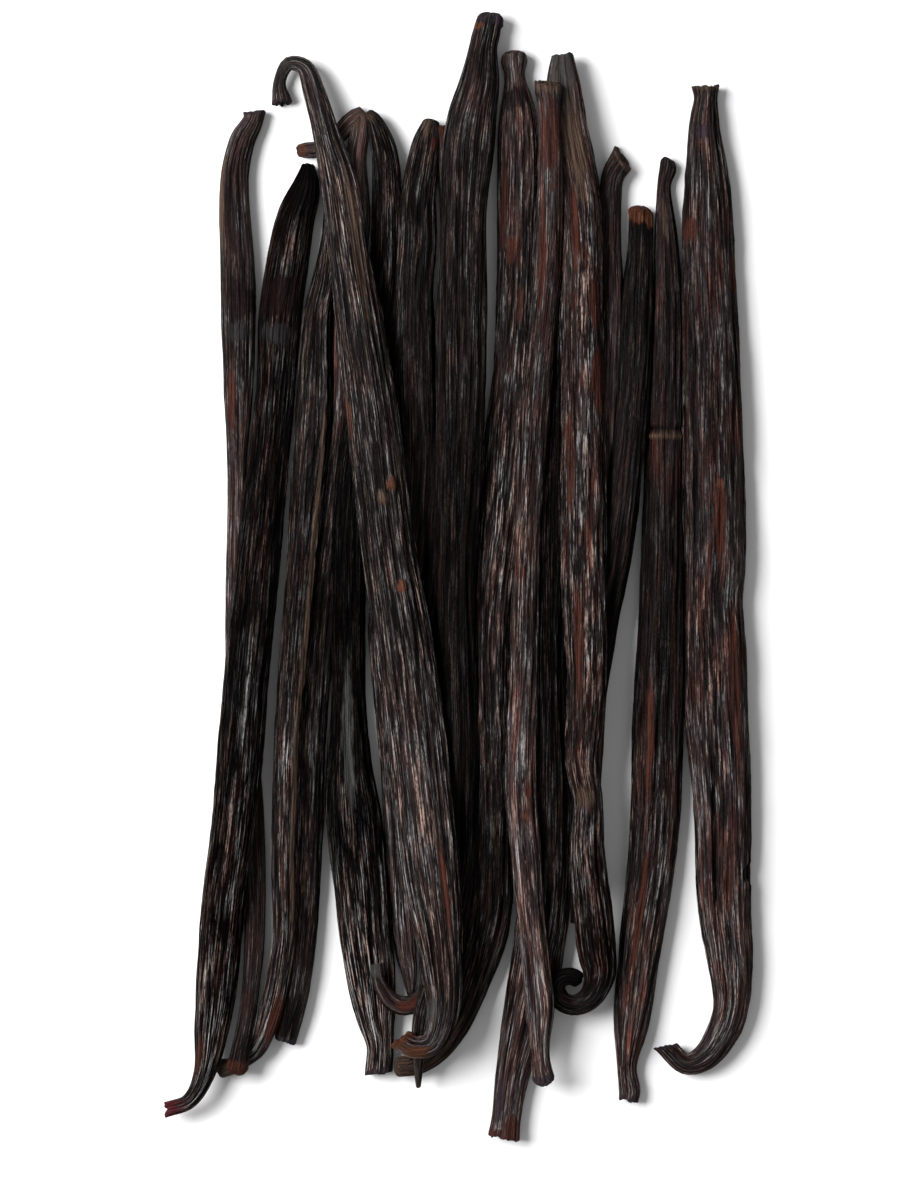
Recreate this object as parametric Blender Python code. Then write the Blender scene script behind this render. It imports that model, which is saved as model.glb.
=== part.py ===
"""A flat, loose bundle of seventeen cured vanilla pods, modelled as one solid out to its uneven outline.

Every pod is a swept, flattened tube that follows its own route across the bundle.  The pods are laid
one by one, from the lowest to the topmost, so that each rests on the table or on the pods under it.
Then they are joined into one closed body.  Lengths are millimetres until the mesh is made, +Y points to
the stalk ends and +Z is up.  The origin is the middle of the bundle's footprint, on the table.
"""

from collections import namedtuple

import bmesh
import bpy
import numpy as np

MM = 0.001

# Cross-section: a pod is a soft, flattened tube.
THIN_POD_THICKNESS = 0.75  # share of the width, for stalks and tails
BELLY_BASE_THICKNESS = 2.2  # thickness of a wide pod = base + share of its width
BELLY_THICKNESS_SHARE = 0.27
SECTION_SIDES = 8
SHOULDER = 0.7  # exponent of the section's shoulder where one pod lies on another

# How pods touch.
CONTACT_SINK = 0.35  # soft pods press into each other by this
JOINING_SKIN = 0.25  # added all round, so that pods which touch become one body
STIFFNESS = 0.004  # how slowly a lifted pod comes back down, per millimetre squared
SETTLE_LENGTH = 3.0  # length over which small steps in height are smoothed out

# Stations along a pod.
DENSE_STEP = 1.0
LONGEST_STEP = 7.5
LARGEST_TURN = np.radians(20.0)

POD_COLOUR = (0.022, 0.014, 0.012, 1.0)
POD_ROUGHNESS = 0.42

Pod = namedtuple("Pod", "name route")

# From the lowest pod to the topmost.  A route runs from the stalk end to the tip: x, y, width.
PODS = (
    Pod("crook_stalk", (
        (-27.8, 74.2, 2.0), (-26.6, 74.3, 2.6), (-24.4, 74.5, 2.8), (-21.2, 76.5, 2.8),
        (-18.9, 79.0, 3.1), (-16.8, 80.4, 3.0), (-16.9, 77.0, 3.3), (-17.5, 73.0, 3.5),
        (-17.4, 62.0, 4.8), (-19.6, 45.0, 5.2), (-20.0, 28.0, 5.4), (-23.0, 2.6, 5.9),
        (-25.4, -22.0, 6.2), (-26.5, -45.0, 6.3), (-27.3, -64.0, 5.3), (-28.6, -74.4, 4.6),
        (-30.0, -81.6, 3.5),
    )),
    Pod("ridged_left", (
        (-21.6, 70.0, 2.6), (-22.0, 58.6, 3.2), (-22.9, 51.2, 4.6), (-24.0, 46.0, 5.0),
        (-24.9, 27.1, 6.5), (-27.1, 2.6, 5.4), (-29.4, -28.9, 5.2), (-30.1, -50.0, 4.8),
        (-30.2, -62.4, 4.0), (-30.8, -67.4, 3.9), (-32.4, -75.5, 3.8), (-34.8, -82.4, 2.9),
        (-36.3, -84.0, 2.5), (-39.0, -85.6, 2.6), (-42.0, -86.2, 3.4),
    )),
    Pod("far_left", (
        (-35.2, 81.0, 3.9), (-35.4, 79.8, 3.4), (-36.0, 78.4, 3.7), (-37.3, 76.0, 4.3),
        (-38.7, 70.0, 4.6), (-38.2, 52.0, 5.6), (-38.1, 33.0, 4.9), (-38.5, 16.0, 3.0),
        (-38.5, -4.0, 3.8), (-38.1, -14.0, 4.4), (-36.2, -40.0, 4.6), (-35.3, -62.0, 3.5),
        (-36.4, -76.0, 2.9), (-37.8, -83.5, 3.2), (-38.4, -87.1, 4.0),
    )),
    Pod("left_over", (
        (-25.9, 71.8, 2.0), (-26.4, 67.5, 5.2), (-28.2, 62.0, 6.8), (-29.3, 56.4, 7.4),
        (-30.7, 47.0, 7.5), (-31.8, 30.6, 6.7), (-34.5, 2.6, 7.9), (-36.7, -20.9, 7.5),
        (-37.7, -32.4, 7.7), (-38.8, -44.0, 7.4), (-40.8, -60.0, 7.6), (-42.5, -77.0, 6.5),
        (-44.2, -87.5, 3.6), (-46.7, -91.7, 2.7), (-50.8, -93.2, 2.6),
    )),
    Pod("inner_left", (
        (-15.8, 80.6, 1.8), (-14.6, 79.4, 2.6), (-13.3, 76.0, 4.0), (-12.6, 73.0, 4.6),
        (-12.2, 62.0, 5.5), (-12.8, 48.0, 5.6), (-16.1, 30.6, 5.6), (-18.4, 12.0, 5.6),
        (-18.8, -12.0, 5.7), (-18.6, -23.6, 5.8), (-18.5, -32.4, 7.4), (-17.6, -43.3, 9.5),
        (-15.9, -61.0, 9.3), (-15.0, -68.0, 8.9), (-14.3, -74.4, 7.5), (-13.9, -78.0, 6.1),
        (-13.3, -82.0, 4.7), (-13.5, -87.0, 4.9),
    )),
    Pod("dark_middle", (
        (-4.4, 79.6, 2.4), (-5.2, 75.5, 4.9), (-6.8, 65.6, 6.1), (-6.9, 58.0, 6.4), (-7.4, 50.0, 6.5),
        (-7.6, 37.0, 7.6), (-7.2, 22.0, 7.0), (-8.6, 3.0, 6.8), (-11.4, -6.0, 7.0), (-12.2, -11.0, 6.0),
        (-12.0, -15.0, 5.8), (-11.6, -22.0, 5.4), (-10.9, -30.0, 5.2), (-10.4, -42.0, 4.6),
        (-9.6, -57.0, 4.2), (-8.9, -65.6, 3.6), (-8.3, -69.3, 2.8), (-8.1, -71.6, 2.0),
        (-8.1, -73.8, 0.8),
    )),
    Pod("knob_top", (
        (10.1, 91.6, 3.0), (10.1, 89.9, 4.5), (10.2, 87.2, 3.5), (10.8, 79.6, 6.4), (10.7, 62.0, 7.2),
        (10.4, 48.0, 6.9), (9.8, 36.0, 6.9), (8.8, 24.0, 7.4), (7.6, 10.0, 7.2), (5.9, -9.0, 6.3),
        (6.0, -32.0, 6.2), (5.9, -50.0, 7.8), (5.2, -59.0, 8.8), (4.0, -65.0, 8.2), (0.8, -75.0, 6.6),
        (-3.2, -82.4, 4.6), (-6.8, -85.2, 3.6), (-11.0, -85.9, 3.3),
    )),
    Pod("thin_hook", (
        (-2.4, 78.4, 2.0), (-1.8, 70.0, 2.8), (-0.9, 56.0, 3.4), (-2.0, 25.0, 3.6), (-4.6, -15.0, 3.6),
        (-5.0, -50.0, 3.2), (-5.1, -66.0, 2.9), (-5.9, -73.0, 3.0), (-8.6, -75.0, 3.4),
        (-11.4, -74.2, 3.2), (-13.5, -71.0, 2.4), (-14.0, -67.6, 2.0),
    )),
    Pod("tall_middle", (
        (5.9, 98.1, 3.8), (5.3, 94.8, 4.7), (4.7, 91.9, 4.9), (4.1, 85.8, 6.9), (2.8, 79.6, 8.5),
        (2.1, 74.4, 9.0), (1.2, 63.0, 8.0), (1.0, 55.0, 8.3), (0.9, 45.0, 8.8), (0.7, 28.0, 8.3),
        (0.4, 20.0, 7.9), (-0.1, -5.0, 6.8), (0.5, -32.0, 6.4), (0.2, -53.0, 5.6), (-1.8, -64.0, 4.6),
        (-4.6, -71.0, 3.4), (-6.5, -77.5, 2.6), (-6.7, -83.0, 2.3), (-6.7, -89.2, 0.8),
    )),
    Pod("dark_right", (
        (19.2, 74.0, 3.2), (18.9, 64.0, 4.0), (17.8, 45.0, 5.4), (16.4, 15.0, 6.2), (16.1, -22.0, 6.6),
        (15.9, -44.0, 8.0), (15.2, -58.0, 8.6), (13.2, -71.0, 8.4), (11.4, -79.0, 7.2),
        (9.4, -88.0, 5.4), (8.5, -95.0, 4.7), (8.1, -98.4, 5.2),
    )),
    Pod("angled_cut", (
        (29.0, 72.8, 4.4), (27.2, 69.4, 3.8), (26.8, 63.0, 3.7), (27.0, 46.0, 4.2), (26.0, 22.0, 4.5),
        (24.7, -4.4, 4.8), (23.4, -28.0, 4.6), (23.0, -45.0, 3.8), (23.6, -56.0, 2.2),
    )),
    Pod("orange_cut", (
        (32.2, 64.4, 3.8), (32.3, 62.6, 4.2), (32.1, 57.0, 4.4), (31.6, 46.0, 5.8), (30.5, 27.0, 5.6),
        (28.0, 6.1, 5.6), (25.2, -9.0, 5.0), (22.8, -28.0, 4.2), (21.6, -46.0, 3.4), (20.2, -60.8, 0.8),
    )),
    Pod("ring_tail", (
        (18.4, 90.6, 3.6), (18.5, 86.0, 5.6), (19.1, 78.5, 7.0), (21.2, 65.0, 7.5), (21.7, 40.0, 7.5),
        (22.0, 0.0, 8.0), (22.2, -22.0, 6.8), (21.7, -33.0, 5.9), (22.6, -39.5, 5.2),
        (22.5, -47.0, 5.8), (23.8, -60.4, 6.7), (24.3, -65.5, 6.6), (24.8, -69.2, 5.6),
        (24.1, -72.2, 4.5), (22.7, -74.0, 4.0), (20.5, -74.9, 3.6), (18.3, -74.2, 3.4),
        (17.2, -72.0, 3.4), (18.1, -70.4, 3.1), (20.0, -70.0, 3.0), (21.6, -71.0, 2.8),
    )),
    Pod("banded", (
        (37.0, 72.7, 2.4), (36.9, 71.2, 2.9), (36.2, 68.0, 2.4), (36.5, 60.0, 3.8), (36.9, 46.0, 5.2),
        (36.5, 26.0, 6.4), (36.0, 0.0, 7.6), (35.2, -25.0, 8.6), (34.3, -47.0, 8.0), (31.9, -66.0, 7.3),
        (30.5, -78.0, 6.2), (29.7, -86.0, 3.4), (30.2, -90.2, 3.7), (30.0, -91.9, 3.3),
    )),
    Pod("broad_right", (
        (43.5, 85.3, 4.9), (43.5, 83.2, 4.1), (43.3, 80.3, 4.9), (43.2, 77.3, 5.6), (43.5, 70.5, 7.1),
        (43.7, 64.5, 8.2), (43.9, 54.0, 9.0), (44.6, 34.0, 10.2), (45.0, 3.0, 10.6), (44.7, -4.0, 10.0),
        (45.1, -13.0, 10.5), (45.4, -24.0, 10.7), (46.3, -40.0, 9.9), (46.6, -58.0, 8.8),
        (47.6, -68.0, 7.6), (47.8, -74.4, 6.3), (46.6, -79.2, 5.7), (43.3, -84.1, 4.7),
        (40.0, -85.4, 3.7), (36.4, -82.3, 3.6),
    )),
    Pod("slim_over", (
        (15.8, 85.4, 4.6), (15.9, 83.6, 4.5), (16.1, 81.2, 3.9), (16.3, 72.0, 4.2), (15.8, 52.0, 4.7),
        (13.8, 30.6, 5.1), (12.4, 6.1, 4.6), (11.8, -18.0, 5.0), (11.2, -36.0, 5.4), (12.4, -53.0, 5.0),
        (13.8, -69.0, 4.9), (14.4, -75.3, 5.0), (14.4, -81.0, 3.5), (14.6, -84.5, 3.2),
        (15.3, -88.9, 4.2),
    )),
    Pod("crosswise_top", (
        (-30.5, 82.2, 3.6), (-30.9, 86.0, 2.1), (-29.3, 89.1, 2.4), (-26.7, 88.5, 2.8),
        (-24.9, 84.0, 3.7), (-22.7, 76.1, 4.6), (-20.6, 68.0, 6.3), (-18.6, 54.0, 7.2),
        (-15.2, 30.6, 8.6), (-12.2, 6.0, 9.2), (-9.4, -12.0, 10.2), (-6.6, -34.0, 10.2),
        (-4.6, -52.0, 10.0), (-2.9, -66.0, 7.2), (-2.5, -76.0, 5.2), (-4.4, -81.2, 3.8),
        (-7.4, -81.8, 3.7), (-10.0, -80.4, 3.9),
    )),
)


def smooth_route(points):
    """Rows of x, y, width every DENSE_STEP along a smooth curve through the given points."""
    points = np.array(points, float)
    chords = np.hypot(*np.diff(points[:, :2], axis=0).T)
    knots = np.concatenate([[0.0], np.cumsum(np.sqrt(chords))])
    gaps = np.diff(knots)[:, None]
    slopes = np.diff(points, axis=0) / gaps
    inner = (slopes[:-1] * gaps[1:] + slopes[1:] * gaps[:-1]) / (gaps[:-1] + gaps[1:])
    tangents = np.vstack([slopes[:1], inner, slopes[-1:]])
    rows = []
    for i, gap in enumerate(gaps[:, 0]):
        u = np.linspace(0.0, 1.0, 40, endpoint=False)[:, None]
        rows.append(
            (1 + 2 * u) * (1 - u) ** 2 * points[i] + u * (1 - u) ** 2 * gap * tangents[i]
            + u ** 2 * (3 - 2 * u) * points[i + 1] + u ** 2 * (u - 1) * gap * tangents[i + 1]
        )
    rows = np.vstack(rows + [points[-1:]])
    travel = np.concatenate([[0.0], np.cumsum(np.hypot(*np.diff(rows[:, :2], axis=0).T))])
    even = np.linspace(0.0, travel[-1], max(8, round(travel[-1] / DENSE_STEP)) + 1)
    return np.column_stack([np.interp(even, travel, column) for column in rows.T]), even


def half_thickness(width):
    return np.minimum(THIN_POD_THICKNESS * width, BELLY_BASE_THICKNESS + BELLY_THICKNESS_SHARE * width) / 2


def shoulder(share):
    """Height of the section's skin over its middle, at a share of the half-width."""
    return np.clip(1.0 - share ** 2, 0.0, 1.0) ** SHOULDER


def heights_when_laid(routes):
    """Height of each pod's centre line, laying the pods in order on the table and on each other."""
    laid = []
    for route, travel in routes:
        x, y, width = route.T
        half = half_thickness(width)
        along = np.gradient(route[:, :2], axis=0)
        along /= np.linalg.norm(along, axis=1)[:, None]
        need = half.copy()
        for share in np.linspace(-0.9, 0.9, 9):
            px = x - share * width / 2 * along[:, 1]
            py = y + share * width / 2 * along[:, 0]
            for other, other_half, other_z in laid:
                far = np.hypot(px[:, None] - other[:, 0], py[:, None] - other[:, 1])
                near = far.argmin(axis=1)
                across = far.min(axis=1) / (other[near, 2] / 2)
                top = other_z[near] + other_half[near] * shoulder(across)
                lifted = top + half * shoulder(share) - CONTACT_SINK
                need = np.where(across < 1.0, np.maximum(need, lifted), need)
        spread = (travel[:, None] - travel[None, :]) ** 2
        z = (need[None, :] - STIFFNESS * spread).max(axis=1)
        weight = np.exp(-spread / (2 * SETTLE_LENGTH ** 2))
        z = np.maximum((weight @ z) / weight.sum(axis=1), half)
        laid.append((route, half, z))
    return [z for _, _, z in laid]


def chosen_stations(route):
    """Few stations where a pod runs straight, more where it bends."""
    heading = np.unwrap(np.arctan2(*np.gradient(route[:, :2], axis=0).T[::-1]))
    kept = [0]
    for i in range(1, len(route) - 1):
        travelled = (i - kept[-1]) * DENSE_STEP
        turned = abs(heading[i] - heading[kept[-1]])
        if travelled >= LONGEST_STEP or turned >= LARGEST_TURN:
            kept.append(i)
    if len(route) - 1 - kept[-1] < 2 and len(kept) > 1:
        kept.pop()
    return kept + [len(route) - 1]


def pod_mesh(name, route, z):
    """The pod as a closed swept tube, with a flat underside where it lies on the table."""
    spine = np.column_stack([route[:, :2], z])
    along = np.gradient(spine, axis=0)
    along /= np.linalg.norm(along, axis=1)[:, None]
    side = np.cross(along, (0.0, 0.0, 1.0))
    side /= np.linalg.norm(side, axis=1)[:, None]
    rise = np.cross(side, along)
    angles = np.linspace(0.0, 2 * np.pi, SECTION_SIDES, endpoint=False) + np.pi / SECTION_SIDES
    stretch = 1.0 / np.cos(np.pi / SECTION_SIDES)
    mesh = bmesh.new()
    rings = []
    for i in chosen_stations(route):
        wide = (route[i, 2] / 2 + JOINING_SKIN) * np.cos(angles)[:, None] * side[i]
        high = (half_thickness(route[i, 2]) + JOINING_SKIN) * np.sin(angles)[:, None] * rise[i]
        ring = spine[i] + (wide + high) * stretch
        ring[:, 2] = np.maximum(ring[:, 2], 0.0)
        rings.append([mesh.verts.new(corner * MM) for corner in ring])
    for ring, following in zip(rings, rings[1:]):
        for j in range(SECTION_SIDES):
            k = (j + 1) % SECTION_SIDES
            mesh.faces.new((ring[j], following[j], following[k], ring[k]))
    mesh.faces.new(rings[0])
    mesh.faces.new(rings[-1][::-1])
    bmesh.ops.triangulate(mesh, faces=mesh.faces[:])
    bmesh.ops.recalc_face_normals(mesh, faces=mesh.faces[:])
    data = bpy.data.meshes.new(name)
    mesh.to_mesh(data)
    mesh.free()
    return data


def joined_pods(meshes):
    """All pods united into one closed skin, without the small voids that they enclose."""
    group = bpy.data.collections.new("pods_to_join")
    bpy.context.scene.collection.children.link(group)
    base = bpy.data.objects.new("base_pod", meshes[0])
    bpy.context.scene.collection.objects.link(base)
    for mesh in meshes[1:]:
        group.objects.link(bpy.data.objects.new(mesh.name, mesh))
    union = base.modifiers.new("union", "BOOLEAN")
    union.operation = "UNION"
    union.operand_type = "COLLECTION"
    union.collection = group
    union.solver = "EXACT"
    graph = bpy.context.evaluated_depsgraph_get()
    joined = bpy.data.meshes.new_from_object(base.evaluated_get(graph))
    for pod in [base] + list(group.objects):
        bpy.data.objects.remove(pod)
    bpy.data.collections.remove(group)
    return joined


def outer_shell(mesh):
    """Keep the largest closed shell of the mesh and drop the rest."""
    shells = bmesh.new()
    shells.from_mesh(mesh)
    unseen = set(shells.faces)
    groups = []
    while unseen:
        group = [unseen.pop()]
        for face in group:
            for edge in face.edges:
                for neighbour in edge.link_faces:
                    if neighbour in unseen:
                        unseen.remove(neighbour)
                        group.append(neighbour)
        groups.append(group)
    groups.sort(key=len)
    for group in groups[:-1]:
        bmesh.ops.delete(shells, geom=group, context="FACES")
    bmesh.ops.triangulate(shells, faces=shells.faces[:])
    shells.to_mesh(mesh)
    shells.free()


def centred(mesh):
    """Put the middle of the footprint at the origin, with the lowest point on the table."""
    corners = np.array([vertex.co for vertex in mesh.vertices])
    low, high = corners.min(axis=0), corners.max(axis=0)
    middle = np.array([(low[0] + high[0]) / 2, (low[1] + high[1]) / 2, low[2]])
    for vertex in mesh.vertices:
        vertex.co = [a - b for a, b in zip(vertex.co, middle)]


def pod_material():
    material = bpy.data.materials.new("pod_skin")
    material.use_nodes = True
    shader = material.node_tree.nodes["Principled BSDF"]
    shader.inputs["Base Color"].default_value = POD_COLOUR
    shader.inputs["Roughness"].default_value = POD_ROUGHNESS
    shader.inputs["Metallic"].default_value = 0.0
    return material


def main():
    for old in list(bpy.data.objects):
        bpy.data.objects.remove(old)
    routes = [smooth_route(pod.route) for pod in PODS]
    heights = heights_when_laid(routes)
    meshes = [pod_mesh(pod.name, route, z) for pod, (route, _), z in zip(PODS, routes, heights)]
    mesh = joined_pods(meshes)
    outer_shell(mesh)
    centred(mesh)
    mesh.name = "pod_bundle"
    mesh.materials.clear()
    mesh.materials.append(pod_material())
    bundle = bpy.data.objects.new("pod_bundle", mesh)
    bpy.context.scene.collection.objects.link(bundle)


main()
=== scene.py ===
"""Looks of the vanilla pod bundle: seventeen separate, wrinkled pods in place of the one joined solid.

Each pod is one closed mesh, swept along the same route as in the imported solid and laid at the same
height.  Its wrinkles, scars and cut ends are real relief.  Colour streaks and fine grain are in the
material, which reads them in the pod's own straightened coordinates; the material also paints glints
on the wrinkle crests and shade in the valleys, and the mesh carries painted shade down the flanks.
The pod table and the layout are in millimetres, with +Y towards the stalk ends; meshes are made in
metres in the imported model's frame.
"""

import itertools
from collections import namedtuple

import bpy
import numpy as np
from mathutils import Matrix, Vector

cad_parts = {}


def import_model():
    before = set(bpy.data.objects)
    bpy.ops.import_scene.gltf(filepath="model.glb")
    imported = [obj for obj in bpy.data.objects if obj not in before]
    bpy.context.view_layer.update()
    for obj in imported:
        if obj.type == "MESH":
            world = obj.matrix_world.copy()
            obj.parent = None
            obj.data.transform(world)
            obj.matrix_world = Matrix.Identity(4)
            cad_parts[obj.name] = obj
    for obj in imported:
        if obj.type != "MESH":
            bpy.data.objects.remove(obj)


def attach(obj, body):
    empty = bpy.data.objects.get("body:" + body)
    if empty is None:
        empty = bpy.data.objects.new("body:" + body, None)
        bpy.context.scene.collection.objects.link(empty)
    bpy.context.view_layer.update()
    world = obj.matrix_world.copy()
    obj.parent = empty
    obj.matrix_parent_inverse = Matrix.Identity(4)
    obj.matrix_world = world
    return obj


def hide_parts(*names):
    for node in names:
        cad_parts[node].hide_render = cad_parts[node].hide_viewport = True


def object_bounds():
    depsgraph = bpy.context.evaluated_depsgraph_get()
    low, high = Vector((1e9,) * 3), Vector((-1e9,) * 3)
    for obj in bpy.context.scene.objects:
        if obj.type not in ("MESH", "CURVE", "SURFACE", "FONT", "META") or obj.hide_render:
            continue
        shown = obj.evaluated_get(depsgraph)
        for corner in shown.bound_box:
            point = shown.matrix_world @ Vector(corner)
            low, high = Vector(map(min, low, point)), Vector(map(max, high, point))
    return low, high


MM = 0.001
NODE = "pod_bundle"

# Cross-section and layout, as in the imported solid.
THIN_POD_THICKNESS = 0.75
BELLY_BASE_THICKNESS = 2.2
BELLY_THICKNESS_SHARE = 0.27
SHOULDER = 0.7
CONTACT_SINK = 0.35
STIFFNESS = 0.004
SETTLE_LENGTH = 3.0
LAYOUT_STEP = 1.0

# Mesh density.
ROUTE_STEP = 0.2
BODY_STEP = 0.7
END_STEP = 0.3
END_ZONE = 7.0
TOP_STEP = 0.155
UNDER_STEP = 0.34
SECTION_POWER = 2.25

# Wrinkles: spacing across, length along and depth of each size, in millimetres.
FLUTES = (5.5, 90.0, 0.30)
FOLDS = (2.3, 50.0, 0.36)
RIDGES = (1.05, 28.0, 0.28)
CREASES = (0.75, 11.0, 0.13)
PUCKERS = (0.8, 1.6, 0.03)

# The texture map of a pod: its skin in strips side by side, with this share of a strip left free.
MAP_NAME = "OFBake"
MAP_MARGIN = 0.01

# Colours that marks and ends are tinted with.  Where a dark mark also presses the skin down, its dark is
# painted shade in that groove.
TINTS = {
    "rust": (0.098, 0.036, 0.019),
    "red": (0.055, 0.017, 0.011),
    "pink": (0.110, 0.022, 0.028),
    "tan": (0.075, 0.048, 0.034),
    "scuff": (0.0062, 0.0028, 0.0026),
    "haze": (0.020, 0.019, 0.020),
    "grey": (0.050, 0.050, 0.047),
    "plum": (0.030, 0.022, 0.028),
    "dark": (0.0022, 0.0016, 0.0018),
}

# The range of the skin's threads.
NEUTRAL = (0.032, 0.028, 0.028)
REDDISH = (0.074, 0.021, 0.014)

# How a pod looks: brightness at even places from the stalk end to the tip, which is partly the skin's own
# tone and partly painted light and shade for where neighbours shade the pod; strength of its painted glints
# (light lines) at the same places; redness, depth and length of its wrinkles, gloss.
Look = namedtuple("Look", "tones lines red relief reach gloss")

# How a pod ends: dome or cut; how far the end leans out to the right and back at the top, per
# millimetre of section; height and number of its teeth; tint and how far the tint reaches.
End = namedtuple("End", "kind slant bevel rag teeth tint reach")

# A patch on the upper side of a pod: its tint, place, length along, width across and height.
Mark = namedtuple("Mark", "tint x y long wide lift")

Pod = namedtuple("Pod", "name look stalk tip marks route")

DOME = End("dome", 0.0, 0.0, 0.1, 1.5, None, 0.0)
CUT = End("cut", 0.0, 0.2, 0.25, 2.0, "dark", 0.1)

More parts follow.
